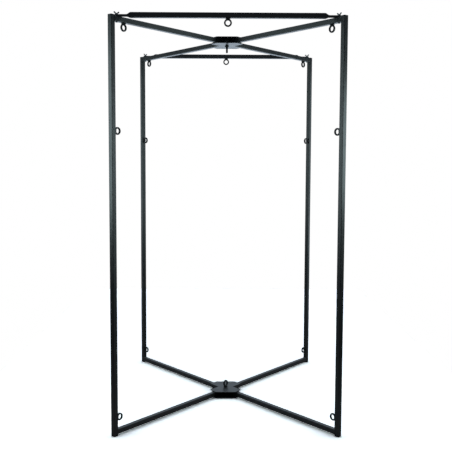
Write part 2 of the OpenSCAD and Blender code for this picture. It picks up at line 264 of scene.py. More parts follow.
class NutSettings(bpy.types.PropertyGroup):
    """Clamp bolts, washers and wing nuts"""

    bolt: distance("Bolt", "Diameter of the bolt", 0.006)
    pitch: distance("Pitch", "Pitch of the thread", 0.001)
    flats: distance("Flats", "Width across the flats of the heads", 0.010)
    head: distance("Head", "Height of the bolt's head", 0.004)
    bore: distance("Bore", "Diameter of the nuts' bores", 0.0061)
    washer: distance("Washer", "Diameter of the washers", 0.014)
    washer_hole: distance("Washer hole", "Diameter of the washers' holes", 0.0064)
    span: distance("Span", "Distance between the tips of the ears", 0.029)
    height: distance("Height", "Height of the ears above the seat", 0.013)
    ear: distance("Ear", "Thickness of the ears", 0.0026)
    tip: distance("Tip", "Radius of the ears' tips", 0.0036)
    barrel: distance("Barrel", "Diameter of the barrel at the seat", 0.0135)
    barrel_top: distance("Barrel top", "Diameter of the barrel at its top", 0.011)
    barrel_height: distance("Barrel height", "Height of the barrel", 0.0055)
    voxel: distance("Fuse size", "Grain at which ears and barrel are fused", 0.00035)


class FrameSettings(bpy.types.PropertyGroup):
    """All settings of the frame's finish"""

    tube: PointerProperty(type=TubeSettings)
    bar: PointerProperty(type=BarSettings)
    eye: PointerProperty(type=EyeSettings)
    nut: PointerProperty(type=NutSettings)
    colours: PointerProperty(type=FinishColours)
    camera: PointerProperty(type=CameraSettings)
    floor: PointerProperty(type=FloorSettings)
    light: PointerProperty(type=LightSettings)


def settings():
    """The scene's settings of the frame's finish."""
    return bpy.context.scene.tube_frame


# Shader maths


class Field:
    """A shader value that Python's operators work on."""

    def __init__(self, shade, socket):
        self.shade = shade
        self.socket = socket

    def _math(self, operation, first, second):
        return self.shade.add("ShaderNodeMath", {"operation": operation}, {0: first, 1: second})

    def __add__(self, other):
        return self._math("ADD", self, other)

    def __radd__(self, other):
        return self._math("ADD", other, self)

    def __sub__(self, other):
        return self._math("SUBTRACT", self, other)

    def __rsub__(self, other):
        return self._math("SUBTRACT", other, self)

    def __mul__(self, other):
        return self._math("MULTIPLY", self, other)

    def __rmul__(self, other):
        return self._math("MULTIPLY", other, self)

    def ramp(self, low, high):
        """0 below low and 1 above high, with a smooth change between them."""
        kind = {"interpolation_type": "SMOOTHSTEP"}
        return self.shade.add("ShaderNodeMapRange", kind, {0: self, 1: low, 2: high, 3: 0.0, 4: 1.0})


class Shade:
    """Node tree of a material or world."""

    def __init__(self, owner):
        owner.use_nodes = True
        self.tree = owner.node_tree
        self.tree.nodes.clear()

    def add(self, kind, options=None, sockets=None, out=0):
        """One output of a new node with its settings and the values or links of its sockets."""
        node = self.tree.nodes.new(kind)
        for key, value in (options or {}).items():
            setattr(node, key, value)
        for key, value in (sockets or {}).items():
            if isinstance(value, Field):
                self.tree.links.new(value.socket, node.inputs[key])
            else:
                node.inputs[key].default_value = value
        return Field(self, node.outputs[out] if len(node.outputs) else None)

    def noise(self, spot, scale, detail=2.0, roughness=0.5):
        """Cloudy noise from 0 to 1."""
        sockets = {"Vector": spot, "Scale": scale, "Detail": detail, "Roughness": roughness}
        return self.add("ShaderNodeTexNoise", sockets=sockets)

    def mix(self, share, first, second):
        """Colour between two colours."""
        sockets = {0: share, 6: first, 7: second}
        return self.add("ShaderNodeMix", {"data_type": "RGBA"}, sockets, out=2)

    def dot(self, first, second):
        """Dot product of two vectors."""
        kind = {"operation": "DOT_PRODUCT"}
        return self.add("ShaderNodeVectorMath", kind, {0: first, 1: second}, out="Value")

    def bump(self, height, strength, depth):
        """Normal of a surface with a fine relief."""
        sockets = {"Height": height, "Strength": strength, "Distance": depth}
        return self.add("ShaderNodeBump", sockets=sockets)

    def edges(self, radius):
        """1 on sharp edges and 0 on flats."""
        round_normal = self.add("ShaderNodeBevel", {"samples": 4}, {"Radius": radius})
        normal = self.add("ShaderNodeNewGeometry", out="Normal")
        return (1 - self.dot(round_normal, normal)).ramp(0.02, 0.25)

    def seen(self, gloss):
        """1 to the camera and through glass, and a share of it to gloss."""
        camera = self.add("ShaderNodeLightPath", out="Is Camera Ray")
        glossy = self.add("ShaderNodeLightPath", out="Is Glossy Ray")
        clear = self.add("ShaderNodeLightPath", out="Is Transmission Ray")
        return camera + clear + glossy * gloss

    def surface(self, sockets):
        """The principled surface that a finish ends in."""
        shader = self.add("ShaderNodeBsdfPrincipled", sockets=sockets)
        self.add("ShaderNodeOutputMaterial", sockets={"Surface": shader})


def rgba(value):
    """A colour with full alpha."""
    return (*value, 1.0)


def new_material(name):
    """A material, its node tree and the piece's own coordinates."""
    material = bpy.data.materials.new(name)
    shade = Shade(material)
    return material, shade, shade.add("ShaderNodeTexCoord", out="Object")


def coat_material():
    """Satin powder coat: orange peel, slight clouding and rubbed edges."""
    tint = settings().colours
    material, shade, spot = new_material("black_powder_coat")
    peel = shade.noise(spot, scale=620.0, roughness=0.55)
    grain = shade.noise(spot, scale=2300.0, detail=1.0)
    cloud = shade.noise(spot, scale=7.0, detail=4.0, roughness=0.6)
    smudge = shade.noise(spot, scale=26.0, detail=5.0, roughness=0.65).ramp(0.50, 0.72)
    worn = shade.edges(radius=0.0009) * shade.noise(spot, scale=140.0, detail=3.0).ramp(0.46, 0.70)
    base = shade.mix(worn * 0.45, rgba(tint.coat), rgba(tint.coat_worn))
    fresh = shade.mix(cloud * 0.14, base, rgba(tint.coat_worn))
    shade.surface({
        "Base Color": fresh,
        "Roughness": 0.29 + cloud * 0.08 + smudge * 0.05 + grain * 0.03,
        "Normal": shade.bump(peel + grain * 0.25, strength=0.055, depth=0.00012),
    })
    return material


def eye_material():
    """Black oxide on forged steel."""
    tint = settings().colours
    material, shade, spot = new_material("black_oxide_steel")
    scale = shade.noise(spot, scale=900.0, detail=3.0, roughness=0.6)
    patch = shade.noise(spot, scale=120.0, detail=3.0)
    base = shade.mix(patch.ramp(0.35, 0.75) * 0.5, rgba(tint.eye), rgba(tint.coat_worn))
    shade.surface({
        "Base Color": base,
        "Roughness": 0.40 + patch * 0.16,
        "Specular IOR Level": 0.3,
        "Normal": shade.bump(scale, strength=0.18, depth=0.0001),
    })
    return material


def zinc_material():
    """Zinc plate with a mottled sheen."""
    tint = settings().colours
    material, shade, spot = new_material("zinc_plate")
    mottle = shade.noise(spot, scale=420.0, detail=4.0, roughness=0.6)
    fine = shade.noise(spot, scale=2600.0)
    shade.surface({
        "Base Color": shade.mix(mottle.ramp(0.35, 0.68), rgba(tint.zinc), rgba(tint.zinc_dull)),
        "Metallic": 1.0,
        "Roughness": 0.24 + mottle * 0.22,
        "Normal": shade.bump(fine, strength=0.10, depth=0.00006),
    })
    return material


def plastic_material():
    """Moulded black plastic with a fine spark texture."""
    tint = settings().colours
    material, shade, spot = new_material("black_moulded_plastic")
    spark = shade.noise(spot, scale=3200.0, roughness=0.6)
    cloud = shade.noise(spot, scale=60.0, detail=3.0)
    shade.surface({
        "Base Color": shade.mix(cloud * 0.25, rgba(tint.plastic), rgba(tint.coat_worn)),
        "Roughness": 0.46 + cloud * 0.12,
        "Normal": shade.bump(spark, strength=0.25, depth=0.00005),
    })
    return material


MATERIALS = {}
MAKERS = {
    "black_coat": coat_material,
    "eye_steel": eye_material,
    "zinc_hardware": zinc_material,
    "black_plastic": plastic_material,
}


def material_of(slot):
    """The finish of a material slot, made when it is first asked for."""
    if slot not in MATERIALS:
        MATERIALS[slot] = MAKERS[slot]()
    return MATERIALS[slot]


# Modelling tools


def choose(piece):
    """Make a piece the only one selected."""
    bpy.ops.object.select_all(action="DESELECT")
    piece.select_set(True)
    bpy.context.view_layer.objects.active = piece


def start(add, name, **options):
    """A new primitive, alone in the selection, with its place in its mesh."""
    bpy.ops.object.select_all(action="DESELECT")
    add(**options)
    bpy.ops.object.transform_apply(location=True, rotation=True, scale=True)
    piece = bpy.context.object
    piece.name = name
    return piece


@contextmanager
def editing(piece, kind="FACE"):
    """Edit mode on one piece, with all of it selected."""
    choose(piece)
    bpy.ops.object.mode_set(mode="EDIT")
    bpy.ops.mesh.select_mode(type=kind)
    bpy.ops.mesh.select_all(action="SELECT")
    yield
    bpy.ops.object.mode_set(mode="OBJECT")


def pick(kind, rule):
    """In edit mode, select only the vertices, edges or faces that a rule holds for."""
    bpy.ops.mesh.select_mode(type=kind)
    bpy.ops.mesh.select_all(action="DESELECT")
    mesh = bpy.context.edit_object.data
    work = bmesh.from_edit_mesh(mesh)
    items = {"VERT": work.verts, "EDGE": work.edges, "FACE": work.faces}[kind]
    for item in items:
        if rule(item):
            item.select_set(True)
    bmesh.update_edit_mesh(mesh)


def extrude(x=0.0, y=0.0, z=0.0):
    """In edit mode, extrude the selection and move it."""
    bpy.ops.mesh.extrude_region_move(TRANSFORM_OT_translate={"value": (x, y, z)})


def resize(x=1.0, y=1.0, z=1.0, about=(0.0, 0.0, 0.0)):
    """In edit mode, scale the selection about a point."""
    bpy.ops.transform.resize(value=(x, y, z), center_override=about)


def face_outwards():
    """In edit mode, merge doubles and turn all normals outwards."""
    bpy.ops.mesh.select_all(action="SELECT")
    bpy.ops.mesh.remove_doubles(threshold=MERGE)
    bpy.ops.mesh.normals_make_consistent(inside=False)


def modify(piece, kind, **options):
    """Add a modifier with its options and apply it."""
    choose(piece)
    bpy.ops.object.modifier_add(type=kind)
    modifier = piece.modifiers[-1]
    for key, value in options.items():
        setattr(modifier, key, value)
    bpy.ops.object.modifier_apply(modifier=modifier.name)


def cut(piece, tool, operation="DIFFERENCE"):
    """Boolean of a piece with a tool that is used up."""
    modify(piece, "BOOLEAN", object=tool, operation=operation, solver="EXACT")
    bpy.data.objects.remove(tool)


def drill(piece, spot, way, diameter, depth):
    """Round hole whose middle is at a spot."""
    turn = Vector(way).to_track_quat("Z", "Y").to_euler()
    add = bpy.ops.mesh.primitive_cylinder_add
    sizes = {"vertices": ROUND_SIDES, "radius": diameter / 2, "depth": depth}
    cut(piece, start(add, "drill", location=spot, rotation=turn, **sizes))


def join(pieces):
    """Join pieces into the first one."""
    choose(pieces[0])
    for piece in pieces:
        piece.select_set(True)
    bpy.ops.object.join()
    return pieces[0]


def copied(piece, place):
    """Copy of a piece with its own mesh, moved to a place."""
    twin = bpy.data.objects.new(piece.name, piece.data.copy())
    bpy.context.collection.objects.link(twin)
    twin.data.transform(place)
    return twin


def spread(piece, places):
    """Copies of a piece at each place, joined into one piece."""
    whole = join([copied(piece, place) for place in places])
    bpy.data.objects.remove(piece)
    return whole


def crisp(piece, degrees=35.0):
    """Smooth shading that keeps creases, with normals that follow the large faces."""
    choose(piece)
    bpy.ops.object.shade_smooth_by_angle(angle=math.radians(degrees))
    modify(piece, "WEIGHTED_NORMAL", keep_sharp=True)


def soften(piece, voxel, passes):
    """Fuse overlapping shells into one skin, round the places where they meet and leave it chosen."""
    modify(piece, "REMESH", mode="VOXEL", voxel_size=voxel)
    modify(piece, "SMOOTH", factor=0.5, iterations=passes)


def hand_over(piece, name, body, node):
    """Name a finished piece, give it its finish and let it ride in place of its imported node."""
    slot = SLOTS[node]
    piece.name = name
    piece.data.name = name
    piece.data.materials.clear()
    piece.data.materials.append(material_of(slot))
    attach(piece, body)
    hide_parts(node)


def at_corners(piece, kind):
    """Hand over a copy of a piece of one kind at each corner, and drop the pattern."""
    for corner in CORNERS:
        hand_over(copied(piece, PLACES[corner]), f"{corner}_{kind}", BODY, f"{kind}_{corner}")
    bpy.data.objects.remove(piece)


# Shapes that repeat


def rounded_square(name, width, radius):
    """Flat square with round corners about the origin, facing up."""
    piece = start(bpy.ops.mesh.primitive_plane_add, name, size=width)
    with editing(piece, "VERT"):
        bpy.ops.mesh.bevel(affect="VERTICES", offset=radius, segments=6)
    return piece


def lathe(name, profile, sides=ROUND_SIDES):
    """Turned piece about Z: a disc extruded and resized through radii and heights."""
    radius, height = profile[0]
    add = bpy.ops.mesh.primitive_circle_add
    piece = start(add, name, vertices=sides, radius=radius, fill_type="NGON", location=(0.0, 0.0, height))
    with editing(piece):
        for next_radius, next_height in profile[1:]:
            extrude(z=next_height - height)
            resize(next_radius / radius, next_radius / radius)
            radius, height = next_radius, next_height
        face_outwards()
    return piece


def square_tube(name, length):
    """Tube that stands on the origin: a rounded square extruded, hollowed and chamfered at its cut ends."""
    tube = settings().tube
    wall_middle = (TUBE_W - tube.wall) / 2
    piece = rounded_square(name, TUBE_W, tube.radius)

    def at_end(vert):
        outer = max(abs(vert.co.x), abs(vert.co.y)) > wall_middle
        return outer and min(abs(vert.co.z), abs(vert.co.z - length)) < tube.chamfer

    with editing(piece):
        extrude(z=length)
        pick("FACE", lambda face: abs(face.normal.z) > FACING)
        bpy.ops.mesh.inset(thickness=tube.wall)
        bpy.ops.mesh.remove_doubles(threshold=CORNER_MERGE)
        bpy.ops.mesh.bridge_edge_loops()
        pick("EDGE", lambda edge: all(at_end(vert) for vert in edge.verts))
        bpy.ops.mesh.bevel(affect="EDGES", offset=tube.chamfer, segments=2)
        face_outwards()
    return piece


def bead_swell(i):
    """Swell of a bead at its point i: quick drops on a slow drift."""
    return math.sin(1.9 * i) + 0.5 * math.sin(0.37 * i)


def weld_bead(corners, closed):
    """Rippled bead along straight runs between corners."""
    tube = settings().tube
    spacing = tube.bead / 2
    runs = list(zip(corners, corners[1:] + corners[:1]))
    if not closed:
        runs.pop()
    spots = []
    for first, last in runs:
        steps = max(1, round((last - first).length / spacing))
        spots += [first.lerp(last, i / steps) for i in range(steps)]
    curve = bpy.data.curves.new("weld_bead", "CURVE")
    curve.dimensions = "3D"
    curve.bevel_depth = tube.bead
    curve.bevel_resolution = 2
    curve.use_fill_caps = not closed
    spline = curve.splines.new("POLY")
    spline.points.add(len(spots) - 1)
    spline.use_cyclic_u = closed
    for i, (point, spot) in enumerate(zip(spline.points, spots)):
        point.co = (*spot, 1.0)
        point.radius = 1.0 + tube.ripple * bead_swell(i)
    bead = bpy.data.objects.new("weld_bead", curve)
    bpy.context.collection.objects.link(bead)
    choose(bead)
    bpy.ops.object.convert(target="MESH")
    with editing(bead):
        face_outwards()
    return bead


def hexagon(name, flats, low, high, chamfer):
    """Hexagon about Z with its corners turned off at both ends."""
    corner = flats / math.sqrt(3.0)
    add = bpy.ops.mesh.primitive_cylinder_add
    middle = (0.0, 0.0, (low + high) / 2)
    piece = start(add, name, vertices=6, radius=corner, depth=high - low, location=middle)
    face, clear = 0.47 * flats, 1.03 * corner
    profile = [(face, low), (clear, low + chamfer), (clear, high - chamfer), (face, high)]
    cut(piece, lathe("turning", profile), "INTERSECT")
    return piece


# Tubes and hubs


def make_uprights():
    """Posts and the stubs above and below them, with holes for the thread inserts."""
    tube = settings().tube
    for kind, eye in (("base_stub", "eye_base_"), ("post", "eye_post_"), ("top_stub", None)):
        low, high = node_box(f"{kind}_{FIRST}", HOME)
        piece = square_tube(kind, high.z - low.z)
        piece.data.transform(Matrix.Translation((0.0, 0.0, low.z)))
        if eye:
            spot = (TUBE_W / 2, 0.0, node_middle(eye + FIRST, HOME).z)
            drill(piece, spot, (1, 0, 0), tube.insert_hole, 4 * tube.wall)
        crisp(piece)
        at_corners(piece, kind)


def corner_bead(x, z):
    """Weld bead round an arm where it meets its stub."""
    tube = settings().tube
    reach = TUBE_W / 2
    flat = reach - tube.radius
    sink = tube.bead * 0.3
    ring = []
    for across, up in ((1, 1), (1, -1), (-1, -1), (-1, 1)):
        above = Vector((x, across * flat, z + up * reach))
        beside = Vector((x - sink, across * (reach - sink), z + up * flat))
        ring += [above, beside] if across == up else [beside, above]
    return weld_bead(ring, True)


def make_arms():
    """Base and top arms with their welds; the top arms are drilled for eyes and clamp bolts."""
    tube = settings().tube
    for kind in ("base_arm", "top_arm"):
        low, high = node_box(f"{kind}_{FIRST}", HOME)
        z = (low.z + high.z) / 2
        piece = square_tube(kind, high.x - low.x)
        lay = Matrix.Translation((low.x, 0.0, z)) @ Matrix.Rotation(math.pi / 2, 4, "Y")
        piece.data.transform(lay)
        if kind == "top_arm":
            eye = node_middle("eye_top_arm_" + FIRST, HOME)
            clamp = HOME.inverted() @ clamp_spot(FIRST)
            drill(piece, (eye.x, 0.0, low.z), (0, 0, 1), tube.insert_hole, 4 * tube.wall)
            drill(piece, (clamp.x, 0.0, z), (0, 0, 1), tube.bolt_hole, 2 * TUBE_W)
        piece = join([piece, corner_bead(low.x, z)])
        crisp(piece)
        at_corners(piece, kind)


def merged_copy(node):
    """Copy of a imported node's mesh with its triangles merged into whole faces."""
    piece = bpy.data.objects.new(node + "_copy", frame["nodes"][node].data.copy())
    bpy.context.collection.objects.link(piece)
    with editing(piece):
        bpy.ops.mesh.customdata_custom_splitnormals_clear()
        bpy.ops.mesh.remove_doubles(threshold=MERGE)
        bpy.ops.mesh.dissolve_limited(angle_limit=math.radians(1.0))
    return piece


def sleeve_beads(node):
    """Weld beads where the sides of a hub's sleeves meet its plates."""
    tube = settings().tube
    low, high = node_box(node)
    pattern = weld_bead([Vector((0.0, 0.0, 0.0)), Vector((tube.hub_weld, 0.0, 0.0))], False)
    beads = []
    for place in PLACES.values():
        hub = place.inverted().translation.x
        points = [p for p in node_points(node, place) if p.x < hub and abs(p.y) < TUBE_W]
        first = min(p.x for p in points) + tube.hub_weld_inset
        side = max(p.y for p in points if p.x < first)
        for y in (-side, side):
            for z in (low.z, high.z):
                beads.append(copied(pattern, place @ Matrix.Translation((first, y, z))))
    bpy.data.objects.remove(pattern)
    return beads


def make_hubs():
    """Hub plates with broken edges, and the sleeves between them with their welds."""
    tube = settings().tube
    for level in ("base", "top"):
        for side in ("lower", "upper"):
            node = f"{level}_hub_{side}_plate"
            plate = merged_copy(node)
            modify(plate, "BEVEL", width=tube.plate_edge, segments=3, angle_limit=EDGE_ANGLE)
            crisp(plate)
            hand_over(plate, f"{level}_{side}_plate", BODY, node)
        node = f"{level}_hub_sleeves"
        sleeves = merged_copy(node)
        modify(sleeves, "BEVEL", width=tube.chamfer, segments=2, angle_limit=EDGE_ANGLE)
        sleeves = join([sleeves, *sleeve_beads(node)])
        crisp(sleeves)
        hand_over(sleeves, f"{level}_sleeve_set", BODY, node)


def half_bar(clamp):
    """Right half of a top bar about the origin: tube, pressed taper and a tab with a round end."""
    bar = settings().bar
    flat = bar.tab / TUBE_W
    piece = rounded_square("top_bar", TUBE_W, settings().tube.radius)
    piece.data.transform(Matrix.Rotation(math.pi / 2, 4, "Y"))
    shares = [(i + 1) / PRESS_STEPS for i in range(PRESS_STEPS)]
    with editing(piece):
        extrude(x=clamp - bar.tab_length - bar.taper)
        height, depth = 1.0, 0.0
        for share in shares:
            pressed = share * share * (3.0 - 2.0 * share)
            next_height, next_depth = 1.0 - (1.0 - flat) * pressed, bar.drop * pressed
            extrude(x=bar.taper / PRESS_STEPS, z=depth - next_depth)
            resize(z=next_height / height, about=(0.0, 0.0, -next_depth))
            height, depth = next_height, next_depth
        extrude(x=bar.tab_length)
        reach, width = 0.0, 1.0
        for share in shares:
            next_reach, next_width = TUBE_W / 2 * math.sin(END_ANGLE * share), math.cos(END_ANGLE * share)
            extrude(x=next_reach - reach)
            resize(y=next_width / width)
            reach, width = next_reach, next_width
        pick("FACE", lambda face: face.normal.x < -FACING and face.calc_center_median().x < TUBE_W)
        bpy.ops.mesh.delete(type="FACE")
    return piece


def top_bar():
    """Whole top bar about the origin, with its bolt holes and the hole for its eye."""
    tube = settings().tube
    clamp = JOINTS["wing_nut_front_right"].x - node_middle("front_top_bar").x
    piece = half_bar(clamp)
    modify(piece, "MIRROR", merge_threshold=SEAM_MERGE)
    with editing(piece):
        face_outwards()
    for side in (-1, 1):
        drill(piece, (side * clamp, 0.0, 0.0), (0, 0, 1), tube.bolt_hole, TUBE_W)
    drill(piece, (0.0, 0.0, -TUBE_W / 2), (0, 0, 1), tube.insert_hole, TUBE_W)
    crisp(piece)
    return piece


def make_top_bars():
    """The front and the rear top bar."""
    pattern = top_bar()
    for end in ENDS:
        node = end + "_top_bar"
        hand_over(copied(pattern, Matrix.Translation(node_middle(node))), end + "_bar", BODY, node)
    bpy.data.objects.remove(pattern)


# Eye bolts


def eye_bolt():
    """Forged eye that points up from its seat at the origin, with its ring across Y."""
    eye = settings().eye
    wire = eye.wire / 2
    ring_z = eye.lift + eye.ring / 2 + wire
    turn = (math.pi / 2, 0.0, 0.0)
    add = bpy.ops.mesh.primitive_torus_add
    sizes = {"major_radius": eye.ring / 2, "minor_radius": wire, "major_segments": 72, "minor_segments": 28}
    ring = start(add, "eye_bolt", location=(0.0, 0.0, ring_z), rotation=turn, **sizes)
    off_middle = wire * 0.1
    with editing(ring):
        for side in (-1, 1):
            pick("VERT", lambda vert: vert.co.y * side > off_middle)
            bpy.ops.transform.translate(value=(0.0, side * eye.land / 2, 0.0))
    shank, collar, neck = eye.shank / 2, eye.collar / 2, eye.neck / 2
    edge = eye.collar_height * 0.22
    top = eye.collar_height
    profile = [(shank - edge, -eye.shank_length), (shank, edge - eye.shank_length), (shank, 0.0)]
    profile += [(collar - edge, 0.0), (collar, edge), (collar, top - edge), (collar - edge, top)]
    profile += [(neck, eye.lift + eye.wire - edge / 2)]
    whole = join([ring, lathe("eye_stem", profile)])
    soften(whole, eye.voxel, passes=3)
    bpy.ops.object.shade_smooth()
    return whole


def eye_places():
    """Each eye's node with the place of its seat and the way that it points."""
    eye = settings().eye
    reach = eye.lift + eye.ring + eye.wire
    down = Matrix.Rotation(math.pi, 4, "X")
    inward = Matrix.Rotation(math.pi / 2, 4, "Y")
    places = {}
    for corner in CORNERS:
        back = PLACES[corner]
        for kind in ("eye_post_", "eye_base_"):
            low, high = node_box(kind + corner, back)
            seat = Matrix.Translation((high.x - reach, 0.0, (low.z + high.z) / 2))
            places[kind + corner] = back @ seat @ inward
        low, high = node_box("eye_top_arm_" + corner, back)
        seat = Matrix.Translation(((low.x + high.x) / 2, 0.0, low.z + reach))
        places["eye_top_arm_" + corner] = back @ seat @ down
    for end in ENDS:
        low, high = node_box(f"eye_{end}_bar")
        places[f"eye_{end}_bar"] = Matrix.Translation((0.0, (low.y + high.y) / 2, low.z + reach)) @ down
    low = node_box("eye_top_hub")[0]
    edge_on = Matrix.Rotation(math.pi / 2, 4, "Z")
    places["eye_top_hub"] = Matrix.Translation((0.0, 0.0, low.z + reach)) @ edge_on @ down
    high = node_box("eye_base_hub")[1]
    along_arm = HOME.to_euler().to_matrix().to_4x4()
    places["eye_base_hub"] = Matrix.Translation((0.0, 0.0, high.z - reach)) @ along_arm
    return places


def make_eyes():
    """An eye bolt at each of its places."""
    pattern = eye_bolt()
    for node, place in eye_places().items():
        hand_over(copied(pattern, place), node.removeprefix("eye_") + "_eye", BODY, node)
    bpy.data.objects.remove(pattern)


# Clamp fasteners


def disc(name, spot, radius, width):
    """Upright disc across Y."""
    add = bpy.ops.mesh.primitive_cylinder_add
    turn = (math.pi / 2, 0.0, 0.0)
    return start(add, name, vertices=40, radius=radius, depth=width, location=spot, rotation=turn)


def wing(side):
    """One ear of a wing nut: the hull of a small disc in the barrel and the disc at its tip."""
    nut = settings().nut
    root_spot = (side * nut.barrel_top * 0.25, 0.0, nut.barrel_height * 0.55)
    root_radius, root_width = nut.tip * 0.8, nut.ear * 1.25
    tip_spot = (side * (nut.span / 2 - nut.tip), 0.0, nut.height - nut.tip)
    ear = join([disc("wing", root_spot, root_radius, root_width), disc("tip", tip_spot, nut.tip, nut.ear)])
    with editing(ear, "VERT"):
        bpy.ops.mesh.convex_hull()
    return ear


def wing_nut():
    """Wing nut that stands on the origin with its ears along X."""
    nut = settings().nut
    foot, top, edge = nut.barrel / 2, nut.barrel_top / 2, nut.ear * 0.2
    height = nut.barrel_height
    profile = [(foot - edge, 0.0), (foot, edge), (top, height - edge), (top - edge, height)]
    whole = join([lathe("wing_nut", profile), wing(-1), wing(1)])
    soften(whole, nut.voxel, passes=5)
    drill(whole, (0.0, 0.0, height / 2), (0, 0, 1), nut.bore, 3 * height)
    crisp(whole, degrees=50.0)
    return whole


def nut_place(corner):
    """Seat of a wing nut, turned to where its packed ears point."""
    node = "wing_nut_" + corner
    spot = JOINTS[node]
    arms = [(p - spot).to_2d() for p in node_points(node)]
    first = max(arms, key=lambda arm: arm.length)
    near_tip = first.length * 0.96
    ear = sum((arm for arm in arms if arm.length > near_tip and arm.dot(first) > 0.0), Vector((0.0, 0.0)))
    seat = Matrix.Translation((spot.x, spot.y, node_box(node)[0].z))
    return seat @ Matrix.Rotation(math.atan2(ear.y, ear.x), 4, "Z")


def make_wing_nuts():
    """A wing nut on each clamp bolt, riding on its own body."""
    pattern = wing_nut()
    for corner in CORNERS:
        node = "wing_nut_" + corner
        hand_over(copied(pattern, nut_place(corner)), corner + "_wing_nut", node, node)
    bpy.data.objects.remove(pattern)


def clamp_places():
    """Places of the four clamp bolts' axes."""
    return [Matrix.Translation(clamp_spot(corner)) for corner in CORNERS]


def make_clamp_bolts():
    """Bolts with a chamfered head below the arm and thread at the top."""
    nut = settings().nut
    low, high = node_box("clamp_bolts")
    seat = low.z + nut.head
    thread_low = ARM_HIGH.z
    rod = nut.bolt / 2
    root = rod - nut.pitch * 0.54
    half_groove = nut.pitch * 0.05
    profile = [(rod, seat - nut.head / 2), (rod, thread_low)]
    turns = int((high.z - thread_low) / nut.pitch) - 1
    for i in range(turns):
        groove = thread_low + (i + 0.5) * nut.pitch
        crest = groove + nut.pitch / 2
        profile += [(root, groove - half_groove), (root, groove + half_groove), (rod, crest)]
    profile += [(root, high.z)]
    head_chamfer = nut.head * 0.15
    bolt = hexagon("clamp_bolt", nut.flats, low.z, seat, head_chamfer)
    cut(bolt, lathe("rod", profile, sides=36), "UNION")
    crisp(bolt)
    hand_over(spread(bolt, clamp_places()), "clamp_bolt_set", BODY, "clamp_bolts")


def make_washers():
    """Washers with soft rims under the wing nuts."""
    nut = settings().nut
    low, high = node_box("washers")
    rim = nut.washer / 2
    edge = (high.z - low.z) / 4
    profile = [(rim - edge, low.z), (rim, low.z + edge), (rim, high.z - edge), (rim - edge, high.z)]
    piece = lathe("washer", profile, sides=64)
    drill(piece, (0.0, 0.0, low.z), (0, 0, 1), nut.washer_hole, TUBE_W)
    crisp(piece)
    hand_over(spread(piece, clamp_places()), "washer_set", BODY, "washers")


# Caps and feet


def tube_plug(name, flange, edge):
    """Plug that stands on its flange: a rounded square with a soft edge and a smaller plug on it."""
    tube = settings().tube
    piece = rounded_square(name, TUBE_W, tube.radius)
    lead, narrow = tube.plug * 0.15, 0.94
    with editing(piece):
        extrude(z=flange)
        pick("FACE", lambda face: face.normal.z > FACING)
        bpy.ops.mesh.inset(thickness=tube.wall + tube.plug_gap)
        extrude(z=tube.plug - lead)
        extrude(z=lead)
        resize(narrow, narrow)
        pick("EDGE", lambda item: all(vert.co.z < MERGE for vert in item.verts))
        bpy.ops.mesh.bevel(affect="EDGES", offset=edge, segments=4)
        face_outwards()
    crisp(piece)
    return piece


def make_plugs():
    """Caps on the posts and feet under the stubs."""
    tube = settings().tube
    feet = node_box("foot_plugs")[0].z
    top = node_box("post_caps")[1].z
    stub_low = node_box("base_stub_" + FIRST)[0].z
    stub_high = node_box("top_stub_" + FIRST)[1].z
    over = Matrix.Rotation(math.pi, 4, "X")
    foot = tube_plug("foot", stub_low - feet, tube.foot_edge)
    places = [PLACES[corner] @ Matrix.Translation((0.0, 0.0, feet)) for corner in CORNERS]
    hand_over(spread(foot, places), "foot_plug_set", BODY, "foot_plugs")
    cap = tube_plug("cap", top - stub_high, tube.cap_edge)
    places = [PLACES[corner] @ Matrix.Translation((0.0, 0.0, top)) @ over for corner in CORNERS]
    hand_over(spread(cap, places), "post_cap_set", BODY, "post_caps")


# Stage


def floor_material():
    """White floor that keeps the object's shadow, with more white where it is seen or mirrored."""
    floor = settings().floor
    material, shade, spot = new_material("white_floor")
    seen_white = floor.white + shade.dot(spot, spot) * floor.fade
    tone = shade.seen(floor.gloss) * seen_white + floor.grey
    paint = shade.add("ShaderNodeVectorMath", {"operation": "SCALE"}, {0: floor.tint, "Scale": tone})
    paper = shade.add("ShaderNodeBsdfDiffuse", sockets={"Color": paint})
    shade.add("ShaderNodeOutputMaterial", sockets={"Surface": paper})
    return material


def make_floor():
    """Flat floor under the frame."""
    floor = settings().floor
    plane = start(bpy.ops.mesh.primitive_plane_add, "studio_floor", size=1.0)
    plane.data.transform(Matrix.Diagonal((floor.width, floor.depth, 1.0, 1.0)))
    plane.data.transform(Matrix.Translation((0.0, floor.middle, 0.0)))
    plane.data.materials.append(floor_material())


def make_world():
    """White to the camera; for light and mirrors, a pale sweep behind and a dark room elsewhere."""
    light = settings().light
    world = bpy.data.worlds.new("white_studio")
    bpy.context.scene.world = world
    shade = Shade(world)
    way = shade.add("ShaderNodeTexCoord", out="Generated")
    depth = shade.add("ShaderNodeSeparateXYZ", sockets={0: way}, out="Y")
    height = shade.add("ShaderNodeSeparateXYZ", sockets={0: way}, out="Z")
    seen = shade.seen(light.room_gloss)
    sweep = light.sweep_low + height.ramp(*light.sweep_edge) * (light.sweep_high - light.sweep_low)
    room = depth.ramp(*light.sweep_side) * sweep
    white = shade.add("ShaderNodeBackground", sockets={"Color": rgba((1.0, 1.0, 1.0))})
    dim = shade.add("ShaderNodeBackground", sockets={"Color": rgba(light.cool), "Strength": room})
    both = shade.add("ShaderNodeMixShader", sockets={0: seen, 1: dim, 2: white})
    shade.add("ShaderNodeOutputWorld", sockets={"Surface": both})


def add_soft_box(name, spot, turn, size, radiance, tint):
    """Soft box that the camera doesn't see."""
    width, height = size
    bpy.ops.object.light_add(type="AREA", location=spot, rotation=turn)
    lamp = bpy.context.object
    lamp.name = name
    lamp.data.shape = "RECTANGLE"
    lamp.data.size = width
    lamp.data.size_y = height
    lamp.data.energy = radiance * math.pi * width * height
    lamp.data.color = tint
    lamp.visible_camera = False


